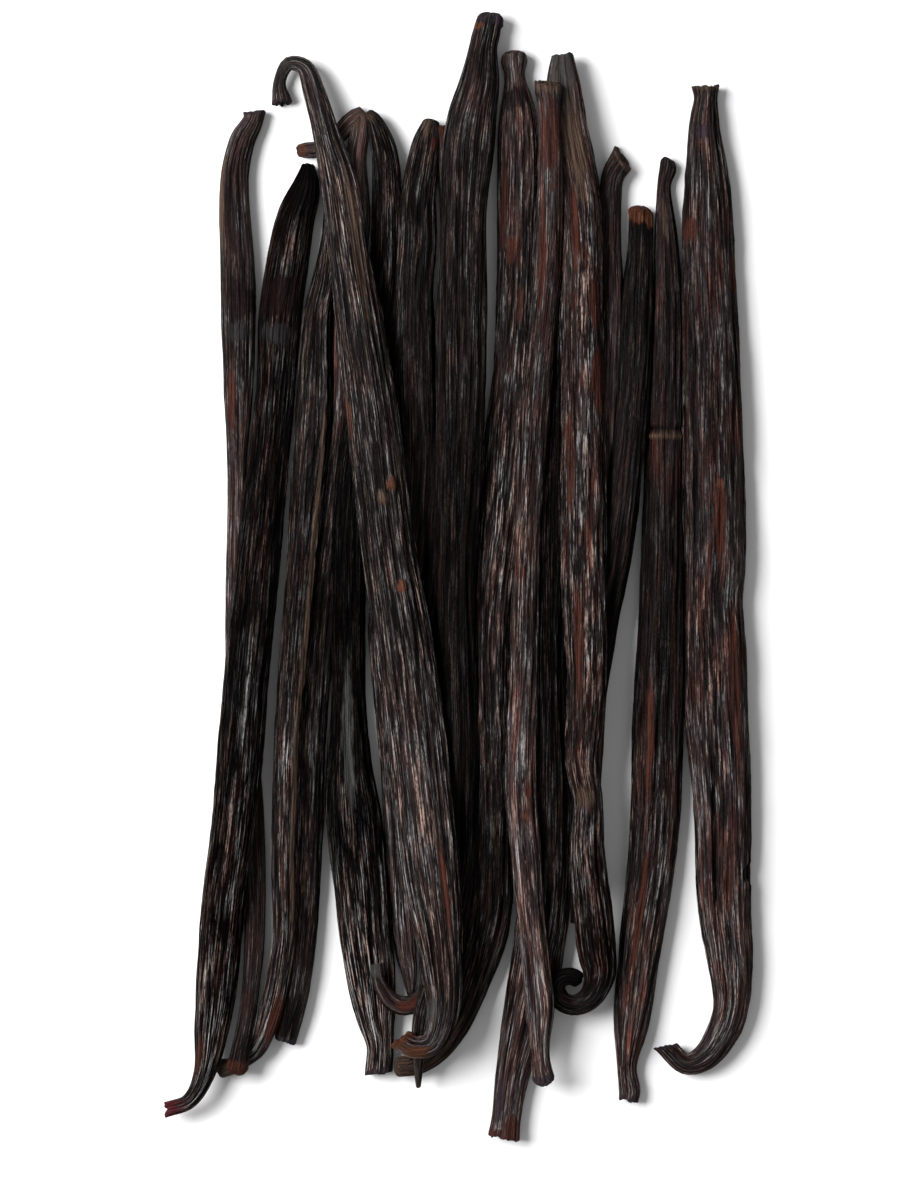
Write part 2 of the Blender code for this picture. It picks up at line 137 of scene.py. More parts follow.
# From the lowest pod to the topmost.  A route runs from the stalk end to the tip: x, y, width.
PODS = (
    Pod(
        "crook_stalk",
        Look((3.6, 3.2, 0.34, 0.30, 0.5), (1.5, 1.6, 0.9, 0.5, 0.85), 0.7, 1.0, 1.0, 0.9),
        End("cut", 0.0, 0.5, 0.15, 2.0, "rust", 1.0), End("cut", 0.1, 0.0, 0.15, 1.5, "plum", 0.6),
        (
            Mark("tan", -17.0, 79.6, 5.0, 2.6, 0.0),
            Mark("red", -18.9, 46.0, 14.0, 2.6, 0.0),
            Mark("tan", -24.0, 74.6, 3.0, 1.0, 0.0),
        ),
        (
            (-27.8, 74.2, 2.0), (-26.6, 74.3, 2.6), (-24.4, 74.5, 2.8), (-21.2, 76.5, 2.8),
            (-18.9, 79.0, 3.1), (-16.8, 80.4, 3.0), (-16.9, 77.0, 3.3), (-17.5, 73.0, 3.5),
            (-17.4, 62.0, 4.8), (-19.6, 45.0, 5.2), (-20.0, 28.0, 5.4), (-23.0, 2.6, 5.9),
            (-25.4, -22.0, 6.2), (-26.5, -45.0, 6.3), (-27.3, -64.0, 5.3), (-28.6, -74.4, 4.6),
            (-30.0, -81.6, 3.5),
        ),
    ),
    Pod(
        "ridged_left",
        Look((0.32, 0.21, 0.18, 0.7, 0.45), (1.1, 0.65, 0.9, 2.0, 1.8), 0.9, 1.0, 1.3, 0.9), CUT,
        End("dome", 0.0, 0.0, 0.3, 1.5, "tan", 2.6),
        (
            Mark("tan", -20.0, 44.6, 34.0, 0.9, 0.35),
            Mark("tan", -25.2, 2.6, 60.0, 0.9, 0.35),
            Mark("tan", -28.4, -40.0, 52.0, 0.9, 0.35),
            Mark("red", -31.6, -77.5, 9.0, 2.4, 0.0),
        ),
        (
            (-21.6, 70.0, 2.6), (-22.0, 58.6, 3.2), (-22.9, 51.2, 4.6), (-24.0, 46.0, 5.0),
            (-24.9, 27.1, 6.5), (-27.1, 2.6, 5.4), (-29.4, -28.9, 5.2), (-30.1, -50.0, 4.8),
            (-30.2, -62.4, 4.0), (-30.8, -67.4, 3.9), (-32.4, -75.5, 3.8), (-34.8, -82.4, 2.9),
            (-36.3, -84.0, 2.5), (-39.0, -85.6, 2.6), (-42.0, -86.2, 3.4),
        ),
    ),
    Pod(
        "far_left",
        Look((1.25, 0.43, 3.2, 1.6, 0.7), (1.1, 0.85, 3.6, 0.4, 0.75), 0.7, 0.9, 1.2, 0.9),
        End("cut", 0.25, 0.0, 0.25, 1.6, "plum", 0.5), End("dome", 0.0, 0.0, 0.2, 1.5, "red", 0.9),
        (
            Mark("tan", -41.0, 66.0, 20.0, 0.8, 0.0),
            Mark("scuff", -37.6, 48.0, 7.2, 4.4, 0.0),
            Mark("haze", -38.2, 42.2, 3.8, 4.6, 0.0),
            Mark("red", -39.3, 30.0, 12.0, 1.4, 0.0),
        ),
        (
            (-35.2, 81.0, 3.9), (-35.4, 79.8, 3.4), (-36.0, 78.4, 3.7), (-37.3, 76.0, 4.3),
            (-38.7, 70.0, 4.6), (-38.2, 52.0, 5.6), (-38.1, 33.0, 4.9), (-38.5, 16.0, 3.0),
            (-38.5, -4.0, 3.8), (-38.1, -14.0, 4.4), (-36.2, -40.0, 4.6), (-35.3, -62.0, 3.5),
            (-36.4, -76.0, 2.9), (-37.8, -83.5, 3.2), (-38.4, -87.1, 4.0),
        ),
    ),
    Pod(
        "left_over",
        Look((0.11, 0.09, 0.08, 0.10, 0.20), (0.45, 0.5, 0.35, 1.1, 2.1), 1.6, 1.0, 1.3, 0.4), DOME,
        End("cut", 0.25, 0.0, 0.9, 1.6, "pink", 2.6),
        (
            Mark("dark", -27.0, 68.0, 12.0, 7.0, 0.0),
            Mark("scuff", -30.8, 48.4, 8.2, 7.4, 0.0),
            Mark("haze", -31.4, 42.0, 3.8, 6.0, 0.1),
            # Painted shade: this dark mark is pressed into the skin as a dent and darkened as if shaded.
            Mark("dark", -41.1, -49.0, 5.0, 2.0, -0.5),
            Mark("red", -44.9, -84.0, 8.0, 1.0, 0.0),
        ),
        (
            (-25.9, 71.8, 2.0), (-26.4, 67.5, 5.2), (-28.2, 62.0, 6.8), (-29.3, 56.4, 7.4),
            (-30.7, 47.0, 7.5), (-31.8, 30.6, 6.7), (-34.5, 2.6, 7.9), (-36.7, -20.9, 7.5),
            (-37.7, -32.4, 7.7), (-38.8, -44.0, 7.4), (-40.8, -60.0, 7.6), (-42.5, -77.0, 6.5),
            (-44.2, -87.5, 3.6), (-46.7, -91.7, 2.7), (-50.8, -93.2, 2.6),
        ),
    ),
    Pod(
        "inner_left",
        Look((0.40, 0.09, 0.05, 0.05, 0.65), (1.3, 0.25, 0.1, 0.5, 5.0), 0.2, 1.1, 1.1, 0.5), DOME,
        End("cut", -0.15, 0.0, 0.2, 1.5, "plum", 0.8),
        (
            Mark("tan", -15.4, 80.2, 3.0, 1.6, 0.0),
            Mark("grey", -19.0, -28.0, 26.0, 2.0, 0.0),
        ),
        (
            (-15.8, 80.6, 1.8), (-14.6, 79.4, 2.6), (-13.3, 76.0, 4.0), (-12.6, 73.0, 4.6),
            (-12.2, 62.0, 5.5), (-12.8, 48.0, 5.6), (-16.1, 30.6, 5.6), (-18.4, 12.0, 5.6),
            (-18.8, -12.0, 5.7), (-18.6, -23.6, 5.8), (-18.5, -32.4, 7.4), (-17.6, -43.3, 9.5),
            (-15.9, -61.0, 9.3), (-15.0, -68.0, 8.9), (-14.3, -74.4, 7.5), (-13.9, -78.0, 6.1),
            (-13.3, -82.0, 4.7), (-13.5, -87.0, 4.9),
        ),
    ),
    Pod(
        "dark_middle",
        Look((0.26, 0.38, 1.6, 0.62, 3.0), (1.1, 0.25, 0.4, 1.8, 4.0), 0.4, 1.0, 1.0, 0.7), DOME, DOME,
        (
            Mark("tan", -5.2, 78.6, 5.0, 1.6, 0.0),
            Mark("red", -4.0, 74.9, 2.4, 1.4, 0.2),
        ),
        (
            (-4.4, 79.6, 2.4), (-5.2, 75.5, 4.9), (-6.8, 65.6, 6.1), (-6.9, 58.0, 6.4),
            (-7.4, 50.0, 6.5), (-7.6, 37.0, 7.6), (-7.2, 22.0, 7.0), (-8.6, 3.0, 6.8),
            (-11.4, -6.0, 7.0), (-12.2, -11.0, 6.0), (-12.0, -15.0, 5.8), (-11.6, -22.0, 5.4),
            (-10.9, -30.0, 5.2), (-10.4, -42.0, 4.6), (-9.6, -57.0, 4.2), (-8.9, -65.6, 3.6),
            (-8.3, -69.3, 2.8), (-8.1, -71.6, 2.0), (-8.1, -73.8, 0.8),
        ),
    ),
    Pod(
        "knob_top",
        Look((2.1, 0.75, 0.85, 0.17, 1.9), (2.3, 1.2, 2.0, 0.4, 0.9), 0.8, 1.1, 0.8, 1.1), DOME,
        End("dome", 0.0, 0.0, 0.2, 1.5, "tan", 2.0),
        (
            Mark("red", 9.4, 56.7, 5.0, 2.0, 0.0),
            Mark("red", 10.9, 47.0, 7.5, 0.8, 0.1),
            Mark("red", 8.2, 64.0, 16.0, 1.2, 0.0),
            Mark("dark", 10.4, 83.0, 4.0, 5.0, 0.0),
            Mark("tan", -2.0, -82.6, 12.0, 1.2, 0.0),
        ),
        (
            (10.1, 91.6, 3.0), (10.1, 89.9, 4.5), (10.2, 87.2, 3.5), (10.8, 79.6, 6.4),
            (10.7, 62.0, 7.2), (10.4, 48.0, 6.9), (9.8, 36.0, 6.9), (8.8, 24.0, 7.4), (7.6, 10.0, 7.2),
            (5.9, -9.0, 6.3), (6.0, -32.0, 6.2), (5.9, -50.0, 7.8), (5.2, -59.0, 8.8),
            (4.0, -65.0, 8.2), (0.8, -75.0, 6.6), (-3.2, -82.4, 4.6), (-6.8, -85.2, 3.6),
            (-11.0, -85.9, 3.3),
        ),
    ),
    Pod(
        "thin_hook",
        Look((0.4, 0.3, 0.3, 0.5, 1.2), (0.5, 0.3, 0.3, 0.3, 1.0), 0.5, 0.9, 1.2, 0.7), DOME,
        End("cut", 0.0, 0.1, 0.2, 1.5, "grey", 2.2),
        (
            Mark("red", -2.3, 77.0, 6.0, 1.6, 0.1),
            Mark("red", -8.0, -74.8, 6.0, 2.4, 0.0),
        ),
        (
            (-2.4, 78.4, 2.0), (-1.8, 70.0, 2.8), (-0.9, 56.0, 3.4), (-2.0, 25.0, 3.6),
            (-4.6, -15.0, 3.6), (-5.0, -50.0, 3.2), (-5.1, -66.0, 2.9), (-5.9, -73.0, 3.0),
            (-8.6, -75.0, 3.4), (-11.4, -74.2, 3.2), (-13.5, -71.0, 2.4), (-14.0, -67.6, 2.0),
        ),
    ),
    Pod(
        "tall_middle",
        Look((0.85, 0.48, 0.22, 0.2, 0.6), (1.3, 0.65, 0.15, 0.12, 2.0), 0.4, 0.8, 1.3, 0.6),
        End("dome", 0.2, 0.0, 0.45, 1.6, "plum", 0.8), DOME,
        (
            Mark("rust", 3.9, 96.1, 2.2, 1.5, 0.15),
            Mark("tan", 5.1, 98.2, 1.6, 2.0, 0.1),
            Mark("plum", 7.4, 96.2, 2.6, 1.6, 0.45),
        ),
        (
            (5.9, 98.1, 3.8), (5.3, 94.8, 4.7), (4.7, 91.9, 4.9), (4.1, 85.8, 6.9), (2.8, 79.6, 8.5),
            (2.1, 74.4, 9.0), (1.2, 63.0, 8.0), (1.0, 55.0, 8.3), (0.9, 45.0, 8.8), (0.7, 28.0, 8.3),
            (0.4, 20.0, 7.9), (-0.1, -5.0, 6.8), (0.5, -32.0, 6.4), (0.2, -53.0, 5.6),
            (-1.8, -64.0, 4.6), (-4.6, -71.0, 3.4), (-6.5, -77.5, 2.6), (-6.7, -83.0, 2.3),
            (-6.7, -89.2, 0.8),
        ),
    ),
    Pod(
        "dark_right",
        Look((0.6, 0.08, 0.06, 0.27, 2.6), (0.6, 0.3, 0.2, 0.5, 4.0), 0.7, 1.0, 1.2, 0.5), CUT,
        End("cut", 0.05, 0.0, 0.5, 1.4, "red", 0.9),
        (
            Mark("red", 9.4, -96.3, 5.0, 3.0, 0.0),
            Mark("plum", 7.4, -92.0, 9.0, 1.6, 0.0),
        ),
        (
            (19.2, 74.0, 3.2), (18.9, 64.0, 4.0), (17.8, 45.0, 5.4), (16.4, 15.0, 6.2),
            (16.1, -22.0, 6.6), (15.9, -44.0, 8.0), (15.2, -58.0, 8.6), (13.2, -71.0, 8.4),
            (11.4, -79.0, 7.2), (9.4, -88.0, 5.4), (8.5, -95.0, 4.7), (8.1, -98.4, 5.2),
        ),
    ),
    Pod(
        "angled_cut",
        Look((0.55, 2.5, 3.0, 3.0, 2.4), (0.7, 1.3, 1.6, 0.8, 0.5), 0.6, 1.0, 1.1, 0.9),
        End("cut", -0.48, 0.35, 0.25, 2.0, "tan", 0.35), DOME,
        (),
        (
            (29.0, 72.8, 4.4), (27.2, 69.4, 3.8), (26.8, 63.0, 3.7), (27.0, 46.0, 4.2),
            (26.0, 22.0, 4.5), (24.7, -4.4, 4.8), (23.4, -28.0, 4.6), (23.0, -45.0, 3.8),
            (23.6, -56.0, 2.2),
        ),
    ),
    Pod(
        "orange_cut",
        Look((0.18, 0.36, 0.45, 0.42, 0.55), (0.3, 0.3, 0.15, 0.15, 0.2), 0.6, 1.0, 1.1, 0.9),
        End("dome", -0.2, 0.3, 0.35, 2.2, "rust", 1.4), DOME,
        (
            Mark("rust", 31.4, 63.2, 3.4, 2.6, 0.2),
            Mark("dark", 33.6, 61.4, 6.0, 2.0, 0.0),
        ),
        (
            (32.2, 64.4, 3.8), (32.3, 62.6, 4.2), (32.1, 57.0, 4.4), (31.6, 46.0, 5.8),
            (30.5, 27.0, 5.6), (28.0, 6.1, 5.6), (25.2, -9.0, 5.0), (22.8, -28.0, 4.2),
            (21.6, -46.0, 3.4), (20.2, -60.8, 0.8),
        ),
    ),
    Pod(
        "ring_tail",
        Look((2.8, 0.7, 0.85, 0.42, 0.12), (3.0, 1.6, 1.7, 1.8, 0.1), 1.15, 1.1, 0.8, 1.0),
        End("cut", 0.15, 0.0, 0.15, 1.5, "grey", 1.2), DOME,
        (
            Mark("grey", 18.3, 86.5, 12.0, 5.0, 0.0),
            Mark("tan", 20.6, 74.0, 18.0, 4.0, 0.0),
            Mark("red", 20.6, 60.0, 16.0, 1.6, 0.0),
            Mark("red", 24.0, 47.0, 10.0, 2.0, 0.0),
            Mark("red", 24.5, 34.0, 12.0, 2.4, 0.0),
            Mark("red", 19.6, 19.0, 18.0, 1.6, 0.0),
            Mark("red", 21.0, -12.0, 20.0, 1.8, 0.0),
            Mark("tan", 22.0, -38.6, 4.4, 3.4, -0.2),
        ),
        (
            (18.4, 90.6, 3.6), (18.5, 86.0, 5.6), (19.1, 78.5, 7.0), (21.2, 65.0, 7.5),
            (21.7, 40.0, 7.5), (22.0, 0.0, 8.0), (22.2, -22.0, 6.8), (21.7, -33.0, 5.9),
            (22.6, -39.5, 5.2), (22.5, -47.0, 5.8), (23.8, -60.4, 6.7), (24.3, -65.5, 6.6),
            (24.8, -69.2, 5.6), (24.1, -72.2, 4.5), (22.7, -74.0, 4.0), (20.5, -74.9, 3.6),
            (18.3, -74.2, 3.4), (17.2, -72.0, 3.4), (18.1, -70.4, 3.1), (20.0, -70.0, 3.0),
            (21.6, -71.0, 2.8),
        ),
    ),
    Pod(
        "banded",
        Look((1.05, 0.75, 0.37, 0.8, 1.9), (0.85, 0.45, 0.12, 1.3, 3.2), 1.1, 1.0, 1.0, 1.0),
        End("dome", -0.3, 0.0, 0.5, 1.5, None, 0.0), End("cut", 0.1, 0.0, 0.4, 1.6, "plum", 0.6),
        (
            # Painted shade: the dark marks here are pressed in as grooves and darkened as if shaded; the tan
            # band beside them is raised.
            Mark("dark", 36.5, 25.4, 0.9, 7.5, -0.35),
            Mark("tan", 36.4, 24.2, 1.3, 7.0, 0.3),
            Mark("dark", 36.9, 44.0, 34.0, 1.0, -0.1),
            Mark("tan", 36.2, 62.0, 8.0, 1.0, 0.0),
            Mark("red", 33.6, -30.0, 22.0, 1.6, 0.0),
            Mark("red", 32.0, -58.0, 24.0, 1.4, 0.0),
        ),
        (
            (37.0, 72.7, 2.4), (36.9, 71.2, 2.9), (36.2, 68.0, 2.4), (36.5, 60.0, 3.8),
            (36.9, 46.0, 5.2), (36.5, 26.0, 6.4), (36.0, 0.0, 7.6), (35.2, -25.0, 8.6),
            (34.3, -47.0, 8.0), (31.9, -66.0, 7.3), (30.5, -78.0, 6.2), (29.7, -86.0, 3.4),
            (30.2, -90.2, 3.7), (30.0, -91.9, 3.3),
        ),
    ),
    Pod(
        "broad_right",
        Look((1.15, 0.75, 0.9, 1.5, 1.25), (1.6, 0.8, 1.0, 1.8, 1.7), 1.1, 1.2, 1.0, 1.0),
        End("cut", 0.0, 0.1, 0.4, 1.5, "tan", 0.4), End("cut", 0.75, 0.0, 0.15, 2.0, "plum", 0.3),
        (
            Mark("plum", 43.6, 77.2, 2.6, 5.0, 0.0),
            Mark("red", 40.8, 60.0, 4.4, 2.6, 0.0),
            Mark("red", 48.0, 52.5, 7.0, 1.4, 0.0),
            Mark("red", 45.7, 9.6, 15.0, 2.4, 0.0),
            Mark("rust", 45.7, 15.7, 1.8, 1.5, 0.1),
            # Painted shade: these dark marks are pressed in as grooves and darkened as if shaded.
            Mark("dark", 50.6, -52.0, 3.0, 1.8, -0.5),
            Mark("dark", 44.8, -45.0, 27.0, 0.9, -0.5),
            Mark("dark", 41.4, 20.0, 60.0, 0.8, -0.35),
            Mark("red", 48.4, -20.0, 26.0, 1.6, 0.0),
        ),
        (
            (43.5, 85.3, 4.9), (43.5, 83.2, 4.1), (43.3, 80.3, 4.9), (43.2, 77.3, 5.6),
            (43.5, 70.5, 7.1), (43.7, 64.5, 8.2), (43.9, 54.0, 9.0), (44.6, 34.0, 10.2),
            (45.0, 3.0, 10.6), (44.7, -4.0, 10.0), (45.1, -13.0, 10.5), (45.4, -24.0, 10.7),
            (46.3, -40.0, 9.9), (46.6, -58.0, 8.8), (47.6, -68.0, 7.6), (47.8, -74.4, 6.3),
            (46.6, -79.2, 5.7), (43.3, -84.1, 4.7), (40.0, -85.4, 3.7), (36.4, -82.3, 3.6),
        ),
    ),
    Pod(
        "slim_over",
        Look((2.1, 1.1, 1.1, 2.4, 2.4), (1.3, 1.2, 1.4, 2.7, 4.4), 0.9, 1.0, 1.0, 1.0),
        End("cut", -0.15, 0.3, 0.2, 2.0, "tan", 1.2), End("dome", 0.0, 0.0, 0.3, 1.5, "plum", 0.5),
        (
            Mark("red", 16.4, 76.0, 16.0, 2.6, 0.0),
            Mark("dark", 13.8, 83.6, 3.2, 1.0, 0.0),
            Mark("red", 12.4, -37.6, 2.6, 1.8, 0.15),
            Mark("rust", 11.9, -42.0, 1.5, 1.0, 0.1),
            Mark("red", 14.8, 55.0, 22.0, 1.2, 0.0),
        ),
        (
            (15.8, 85.4, 4.6), (15.9, 83.6, 4.5), (16.1, 81.2, 3.9), (16.3, 72.0, 4.2),
            (15.8, 52.0, 4.7), (13.8, 30.6, 5.1), (12.4, 6.1, 4.6), (11.8, -18.0, 5.0),
            (11.2, -36.0, 5.4), (12.4, -53.0, 5.0), (13.8, -69.0, 4.9), (14.4, -75.3, 5.0),
            (14.4, -81.0, 3.5), (14.6, -84.5, 3.2), (15.3, -88.9, 4.2),
        ),
    ),
    Pod(
        "crosswise_top",
        Look((1.9, 0.65, 0.6, 0.85, 0.9), (2.3, 1.9, 1.6, 1.9, 2.5), 0.35, 1.2, 1.2, 1.1),
        End("cut", 0.0, 0.2, 0.2, 1.6, "plum", 0.5), End("cut", 0.45, 0.0, 0.35, 2.0, "rust", 0.9),
        (
            Mark("rust", -18.7, 27.6, 8.5, 0.8, 0.0),
            Mark("rust", -11.4, 15.8, 2.3, 1.9, 0.45),
            Mark("tan", -12.8, 13.4, 2.4, 1.9, 0.35),
            Mark("rust", -9.6, -2.0, 2.1, 1.9, 0.4),
            Mark("grey", -4.0, -75.2, 5.0, 2.5, 0.0),
            Mark("rust", -6.9, -82.6, 4.5, 2.0, 0.0),
            Mark("tan", -17.6, 58.0, 30.0, 1.6, 0.0),
            Mark("red", -2.0, -55.0, 16.0, 1.4, 0.0),
        ),
        (
            (-30.5, 82.2, 3.6), (-30.9, 86.0, 2.1), (-29.3, 89.1, 2.4), (-26.7, 88.5, 2.8),
            (-24.9, 84.0, 3.7), (-22.7, 76.1, 4.6), (-20.6, 68.0, 6.3), (-18.6, 54.0, 7.2),
            (-15.2, 30.6, 8.6), (-12.2, 6.0, 9.2), (-9.4, -12.0, 10.2), (-6.6, -34.0, 10.2),
            (-4.6, -52.0, 10.0), (-2.9, -66.0, 7.2), (-2.5, -76.0, 5.2), (-4.4, -81.2, 3.8),
            (-7.4, -81.8, 3.7), (-10.0, -80.4, 3.9),
        ),
    ),
)

# The camera looks straight down on this place of the pod table.
VIEW_CENTRE = (-1.2, -4.4)
VIEW_HEIGHT = 210.0
CAMERA_DISTANCE = 800.0
SENSOR = 36.0


# ---------------------------------------------------------------- layout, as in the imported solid

def smooth_route(points, step):
    """Rows of x, y, width about every step along a smooth curve through the given points."""
    points = np.array(points, float)
    chords = np.hypot(*np.diff(points[:, :2], axis=0).T)
    knots = np.concatenate([[0.0], np.cumsum(np.sqrt(chords))])
    gaps = np.diff(knots)[:, None]
    slopes = np.diff(points, axis=0) / gaps
    inner = (slopes[:-1] * gaps[1:] + slopes[1:] * gaps[:-1]) / (gaps[:-1] + gaps[1:])
    tangents = np.vstack([slopes[:1], inner, slopes[-1:]])
    rows = []
    for i, gap in enumerate(gaps[:, 0]):
        u = np.linspace(0.0, 1.0, 40, endpoint=False)[:, None]
        rows.append(
            (1 + 2 * u) * (1 - u) ** 2 * points[i] + u * (1 - u) ** 2 * gap * tangents[i]
            + u ** 2 * (3 - 2 * u) * points[i + 1] + u ** 2 * (u - 1) * gap * tangents[i + 1]
        )
    rows = np.vstack(rows + [points[-1:]])
    travel = np.concatenate([[0.0], np.cumsum(np.hypot(*np.diff(rows[:, :2], axis=0).T))])
    even = np.linspace(0.0, travel[-1], max(8, round(travel[-1] / step)) + 1)
    return np.column_stack([np.interp(even, travel, column) for column in rows.T]), even


def half_thickness(width):
    return np.minimum(THIN_POD_THICKNESS * width, BELLY_BASE_THICKNESS + BELLY_THICKNESS_SHARE * width) / 2


def shoulder(share):
    """Height of the section's skin over its middle, at a share of the half-width."""
    return np.clip(1.0 - share ** 2, 0.0, 1.0) ** SHOULDER


def heights_when_laid(routes):
    """Height of each pod's centre line, laying the pods in order on the table and on each other."""
    laid = []
    for route, travel in routes:
        x, y, width = route.T
        half = half_thickness(width)
        along = np.gradient(route[:, :2], axis=0)
        along /= np.linalg.norm(along, axis=1)[:, None]
        need = half.copy()
        for share in np.linspace(-0.9, 0.9, 9):
            px = x - share * width / 2 * along[:, 1]
            py = y + share * width / 2 * along[:, 0]
            for other, other_half, other_z in laid:
                far = np.hypot(px[:, None] - other[:, 0], py[:, None] - other[:, 1])
                near = far.argmin(axis=1)
                across = far.min(axis=1) / (other[near, 2] / 2)
                top = other_z[near] + other_half[near] * shoulder(across)
                lifted = top + half * shoulder(share) - CONTACT_SINK
                need = np.where(across < 1.0, np.maximum(need, lifted), need)
        spread = (travel[:, None] - travel[None, :]) ** 2
        z = (need[None, :] - STIFFNESS * spread).max(axis=1)
        weight = np.exp(-spread / (2 * SETTLE_LENGTH ** 2))
        z = np.maximum((weight @ z) / weight.sum(axis=1), half)
        laid.append((route, half, z))
    return [z for _, _, z in laid]


# ---------------------------------------------------------------- noise

def noise_table(seed):
    random = np.random.default_rng(seed)
    directions = random.normal(size=(256, 3))
    directions /= np.linalg.norm(directions, axis=1)[:, None]
    order = random.permutation(256)
    return np.concatenate([order, order]), directions


def noise(points, table):
    """Smooth gradient noise, about -0.7 to 0.7, at points of shape (..., 3)."""
    order, directions = table
    cell = np.floor(points).astype(int)
    inside = points - cell
    fade = inside ** 3 * (inside * (inside * 6 - 15) + 10)
    total = np.zeros(points.shape[:-1])
    for corner in itertools.product((0, 1), repeat=3):
        x, y, z = [(cell[..., i] + corner[i]) & 255 for i in range(3)]
        direction = directions[order[order[order[x] + y] + z]]
        weight = np.prod([fade[..., i] if corner[i] else 1 - fade[..., i] for i in range(3)], axis=0)
        total += weight * (direction * (inside - corner)).sum(axis=-1)
    return total


def smooth_step(low, high, value):
    t = np.clip((value - low) / (high - low), 0.0, 1.0)
    return t * t * (3 - 2 * t)


# ---------------------------------------------------------------- the pods' surface

def station_places(start, finish):
    """Places along a pod, closer together near its ends."""
    places = [start]
    while places[-1] < finish:
        from_end = min(places[-1] - start, finish - places[-1])
        places.append(places[-1] + END_STEP + (BODY_STEP - END_STEP) * smooth_step(0.0, END_ZONE, from_end))
    return start + (np.array(places) - start) * (finish - start) / (places[-1] - start)


def section_angles(half_width, half_height):
    """Angles round the section from its underside seam, close together on top and sparse below."""
    fine = np.linspace(-np.pi / 2, 1.5 * np.pi, 2001)
    rim = np.column_stack([half_width * np.cos(fine), half_height * np.sin(fine)])
    arc = np.hypot(*np.diff(rim, axis=0).T)
    upper = smooth_step(-0.95, -0.6, np.sin((fine[:-1] + fine[1:]) / 2))
    count = np.concatenate([[0.0], np.cumsum(arc / (UNDER_STEP + (TOP_STEP - UNDER_STEP) * upper))])
    columns = int(round(count[-1]))
    return np.interp(np.arange(columns) / columns * count[-1], count, fine)


def cap_rows(end, half_width):
    """Rows from the rim of an end to its middle: distance beyond the end and share of the section."""
    if end.kind == "dome":
        turn = np.linspace(0.0, np.pi / 2, 11)[1:-1]
        return np.column_stack([np.sin(turn) * half_width * 0.75, np.cos(turn)])
    turn = np.linspace(0.0, np.pi / 2, 5)[1:]
    rim = np.column_stack([np.sin(turn) * 0.22, 1 - (1 - np.cos(turn)) * 0.2])
    face = np.linspace(rim[-1, 1], 0.0, 10)[1:-1]
    dish = rim[-1, 0] - 0.25 * half_width * (1 - (face / rim[-1, 1]) ** 2)
    return np.vstack([rim, np.column_stack([dish, face])])


def pod_rows(pod, travel, half):
    """All rings of a pod: place on the route, distance beyond the end, share of the section."""
    start = cap_rows(pod.stalk, half[0])[::-1]
    finish = cap_rows(pod.tip, half[-1])
    body = station_places(max(start[:, 0].max(), 0.0), travel[-1] - max(finish[:, 0].max(), 0.0))
    place = np.concatenate([np.full(len(start), body[0]), body, np.full(len(finish), body[-1])])
    beyond = np.concatenate([-start[:, 0], np.zeros(len(body)), finish[:, 0]])
    share = np.concatenate([start[:, 1], np.ones(len(body)), finish[:, 1]])
    return place, beyond, share


def relief(pod, skin, place, tables):
    """Wrinkle height in millimetres, and how much of a crest each point is, from 0 to 1."""
    look = pod.look
    wander = noise(np.dstack([skin[..., 0] / 4, skin[..., 1] / 4, place / 40]), tables[0])
    swirl = noise(np.dstack([skin[..., 0] / 2, skin[..., 1] / 2, place / 14]), tables[1])
    tangent = np.dstack([-skin[..., 1], skin[..., 0]])
    tangent /= np.maximum(np.linalg.norm(tangent, axis=-1), 1e-6)[..., None]
    moved = skin + tangent * (1.8 * wander + 0.35 * swirl)[..., None]

    def layer(size, table):
        spacing, length, _ = size
        return noise(
            np.dstack([moved[..., 0] / spacing, moved[..., 1] / spacing, place / (length * look.reach)]), table
        )

    flutes = layer(FLUTES, tables[2]) / 0.5
    folds = np.clip(np.abs(layer(FOLDS, tables[6])) / 0.42, 0.0, 1.0) ** 0.8
    ridges = np.clip(1.0 - np.abs(layer(RIDGES, tables[3])) / 0.45, 0.0, 1.0)
    creases = np.clip(1.0 - np.abs(layer(CREASES, tables[4])) / 0.40, 0.0, 1.0)
    puckers = layer(PUCKERS, tables[5]) / 0.5
    height = look.relief * (
        FLUTES[2] * flutes + FOLDS[2] * (folds - 0.55) + RIDGES[2] * (ridges ** 1.4 - 0.4)
        + CREASES[2] * (creases ** 1.4 - 0.4) + PUCKERS[2] * puckers
    )
    crest = np.clip(np.maximum(ridges, 0.85 * creases) * (0.55 + 0.45 * folds), 0.0, 1.0)
    return height, crest


def end_lean(end, x, z, width, from_end, share, table):
    """How far each point near an end reaches beyond it: slanted, ragged and, where cut, rough."""
    weight = smooth_step(1.3 * width, 0.0, from_end)[:, None]
    turn = np.arctan2(z, x)
    rim = np.dstack([np.cos(turn) * end.teeth, np.sin(turn) * end.teeth, np.full(x.shape, 0.5)])
    teeth = end.rag * 2.0 * noise(rim, table) * smooth_step(0.6 * width, 0.0, from_end)[:, None]
    lean = weight * (end.slant * -x - end.bevel * z) + teeth * share[:, None] ** 0.5
    if end.kind == "cut":
        rough = noise(np.dstack([x / 0.45, z / 0.45, np.full(x.shape, 3.5)]), table)
        lean = lean + 0.35 * rough * (share < 0.99)[:, None]
    return lean


def mark_mask(mark, spine, travel, side, place, x, upper, table):
    """1 inside a mark and 0 outside, with an uneven edge."""
    nearest = np.hypot(spine[:, 0] - mark.x, spine[:, 1] - mark.y).argmin()
    offset = (mark.x - spine[nearest, 0]) * side[nearest, 0] + (mark.y - spine[nearest, 1]) * side[nearest, 1]
    u = np.broadcast_to((place[:, None] - travel[nearest]) / (mark.long / 2), x.shape)
    v = (x - offset) / (mark.wide / 2)
    edge = noise(np.dstack([x / 0.7, u * mark.long / 5, v * mark.wide / 9]), table)
    fine = noise(np.dstack([x / 0.25, u * mark.long / 2.4, v * mark.wide / 3]), table)
    distance = np.sqrt(u ** 2 + v ** 2) + 0.55 * edge + 0.3 * fine
    return smooth_step(1.15, 0.7, distance) * upper


